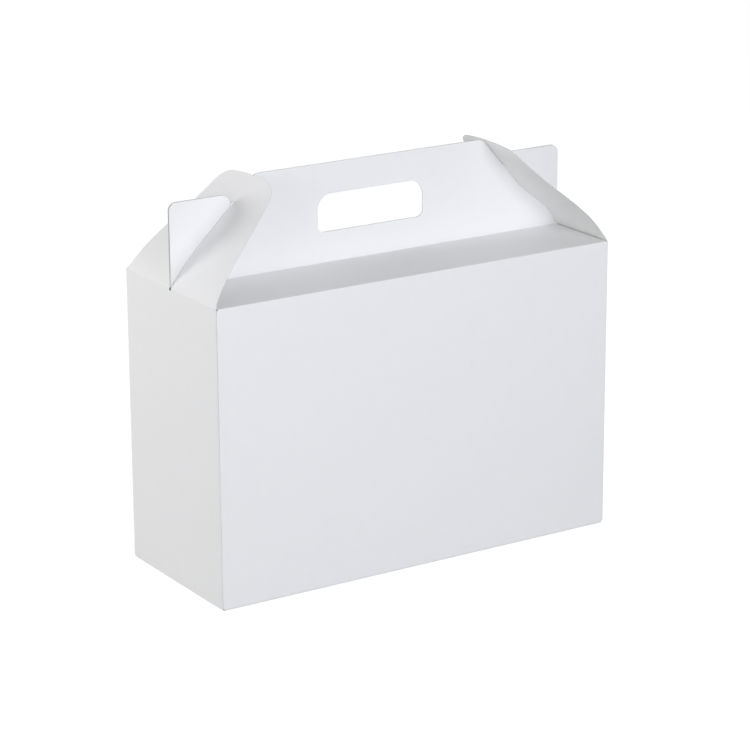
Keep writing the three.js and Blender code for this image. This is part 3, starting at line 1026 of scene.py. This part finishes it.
def studio_floor(colour, glow_strength):
    """A flat disc as wide as the view needs, which the camera sees as white wherever it is lit."""
    angles = np.linspace(0, 2 * math.pi, FLOOR_SIDES, endpoint=False)
    level = np.full(FLOOR_SIDES, -FLOOR_DROP)
    ring = np.column_stack([FLOOR_RADIUS * np.cos(angles), FLOOR_RADIUS * np.sin(angles), level])
    mesh = bpy.data.meshes.new("studio_floor")
    mesh.from_pydata(ring.tolist(), [], [list(range(len(ring)))])
    material = new_material("White studio floor")
    tree = material.node_tree
    paint = add_node(tree, "ShaderNodeBsdfDiffuse", {"Color": colour})
    lifted = add_node(
        tree, "ShaderNodeMath", {"operation": "MULTIPLY", 1: glow_strength}, {0: seen_directly(tree)}
    )
    glow = add_node(
        tree, "ShaderNodeEmission", {"Color": WHITE}, {"Strength": lifted.outputs["Value"]}
    )
    both = add_node(
        tree, "ShaderNodeAddShader", links={0: paint.outputs["BSDF"], 1: glow.outputs["Emission"]}
    )
    add_node(tree, "ShaderNodeOutputMaterial", links={"Surface": both.outputs["Shader"]})
    mesh.materials.append(material)
    floor = bpy.data.objects.new("studio_floor", mesh)
    bpy.context.scene.collection.objects.link(floor)


def studio_world(strength):
    """An even white surround that lights softly and that the camera sees as white."""
    world = bpy.data.worlds.new("White surround")
    world.use_nodes = True
    tree = world.node_tree
    tree.nodes.clear()
    level = add_node(
        tree,
        "ShaderNodeMapRange",
        {"To Min": strength, "To Max": 1.0},
        {"Value": seen_directly(tree)},
    )
    sky = add_node(
        tree, "ShaderNodeBackground", {"Color": WHITE}, {"Strength": level.outputs["Result"]}
    )
    add_node(tree, "ShaderNodeOutputWorld", links={"Surface": sky.outputs["Background"]})
    bpy.context.scene.world = world


def towards(azimuth, elevation):
    """The direction from the box to a camera or lamp: (sin a cos e, -cos a cos e, sin e)."""
    return Vector(
        (
            math.sin(azimuth) * math.cos(elevation),
            -math.cos(azimuth) * math.cos(elevation),
            math.sin(elevation),
        )
    )


def soft_lamp(name, azimuth, elevation, power, tint, studio):
    """A round softbox that faces the box's middle and stays out of the picture."""
    lamp = bpy.data.lights.new(name, "AREA")
    lamp.shape = "DISK"
    lamp.size = studio.lamp_size
    lamp.energy = power
    lamp.color = tint[:3]
    back = towards(math.radians(azimuth), math.radians(elevation))
    body = bpy.data.objects.new(name, lamp)
    body.rotation_mode = "QUATERNION"
    body.rotation_quaternion = (-back).to_track_quat("-Z", "Y")
    body.location = Vector((0, 0, TOP / 2 * MM)) + back * studio.lamp_distance
    body.visible_camera = False
    bpy.context.scene.collection.objects.link(body)


def studio_camera(studio):
    """The photo's camera: its place, turn, focal length and optical centre."""
    camera = bpy.data.cameras.new("camera")
    camera.sensor_fit = "HORIZONTAL"
    camera.sensor_width = SENSOR_WIDTH
    camera.lens = studio.focal_pixels / IMAGE_SIDE * SENSOR_WIDTH
    camera.shift_x = -studio.centre_right / IMAGE_SIDE
    camera.shift_y = -studio.centre_up / IMAGE_SIDE
    camera.clip_end = 100
    body = bpy.data.objects.new("camera", camera)
    back = towards(studio.azimuth, studio.elevation)
    body.rotation_mode = "QUATERNION"
    body.rotation_quaternion = (-back).to_track_quat("-Z", "Y") @ Quaternion((0, 0, 1), studio.roll)
    body.location = CAMERA_PLACE
    bpy.context.scene.collection.objects.link(body)
    bpy.context.scene.camera = body


# Operators


class LUNCHBOX_OT_carton(bpy.types.Operator):
    """Folds the blank's walls, roof, handle and bottom"""

    bl_idname = "lunchbox.carton"
    bl_label = "Folded Carton"

    def execute(self, context):
        scene = context.scene
        blank = millimetres(scene.lunchbox_sizes)
        lock = millimetres(scene.lunchbox_flaps)
        carton = folded_carton(blank, lock, board_materials(scene.lunchbox_finish))
        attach(carton, CARTON_BODY)
        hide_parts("carton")
        return {"FINISHED"}


class LUNCHBOX_OT_flaps(bpy.types.Operator):
    """Bends the two end flaps over the handle's ears"""

    bl_idname = "lunchbox.flaps"
    bl_label = "Lock Flaps"

    def execute(self, context):
        scene = context.scene
        blank = millimetres(scene.lunchbox_sizes)
        lock = millimetres(scene.lunchbox_flaps)
        for name, side in FLAPS:
            flap = lock_flap(blank, lock, name, side, board_materials(scene.lunchbox_finish))
            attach(flap, name + "_flap")
            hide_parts(name + "_lock_flap")
        return {"FINISHED"}


class LUNCHBOX_OT_stage(bpy.types.Operator):
    """Sets the floor, the surround, the lamps and the camera"""

    bl_idname = "lunchbox.stage"
    bl_label = "Studio"

    def execute(self, context):
        scene = context.scene
        studio = scene.lunchbox_studio
        studio_floor(tuple(scene.lunchbox_finish.floor), studio.floor_glow)
        studio_world(studio.sky_strength)
        for name, azimuth, elevation, tinted in LAMPS:
            tint = tuple(studio.front_tint) if tinted else WHITE
            power = getattr(studio, name + "_power")
            soft_lamp(name + "_lamp", azimuth, elevation, power, tint, studio)
        studio_camera(studio)
        scene.view_settings.view_transform = "Standard"
        return {"FINISHED"}


class LUNCHBOX_PT_panel(bpy.types.Panel):
    """Lists the lunch box's steps and settings"""

    bl_label = "Lunch Box"
    bl_idname = "LUNCHBOX_PT_panel"
    bl_space_type = "VIEW_3D"
    bl_region_type = "UI"
    bl_category = "Lunch Box"

    def draw(self, context):
        scene = context.scene
        for operator in OPERATORS:
            self.layout.operator(operator.bl_idname)
        for name in GROUPS:
            group = getattr(scene, name)
            box = self.layout.box()
            for prop in group.bl_rna.properties:
                if prop.identifier not in ("rna_type", "name"):
                    box.prop(group, prop.identifier)


OPERATORS = (LUNCHBOX_OT_carton, LUNCHBOX_OT_flaps, LUNCHBOX_OT_stage)
GROUPS = {
    "lunchbox_sizes": LunchBoxSizes,
    "lunchbox_flaps": LunchBoxFlapSizes,
    "lunchbox_finish": LunchBoxFinish,
    "lunchbox_studio": LunchBoxStudio,
}


def register():
    """Adds the settings, the operators and the panel to Blender."""
    for cls in (*GROUPS.values(), *OPERATORS, LUNCHBOX_PT_panel):
        bpy.utils.register_class(cls)
    for name, group in GROUPS.items():
        setattr(bpy.types.Scene, name, PointerProperty(type=group))


def unregister():
    """Takes them out again."""
    for name in GROUPS:
        delattr(bpy.types.Scene, name)
    for cls in (LUNCHBOX_PT_panel, *reversed(OPERATORS), *reversed(GROUPS.values())):
        bpy.utils.unregister_class(cls)


def main():
    """Builds the lunch box and its studio."""
    register()
    bpy.ops.lunchbox.carton()
    bpy.ops.lunchbox.flaps()
    bpy.ops.lunchbox.stage()


if __name__ == "__main__":
    main()
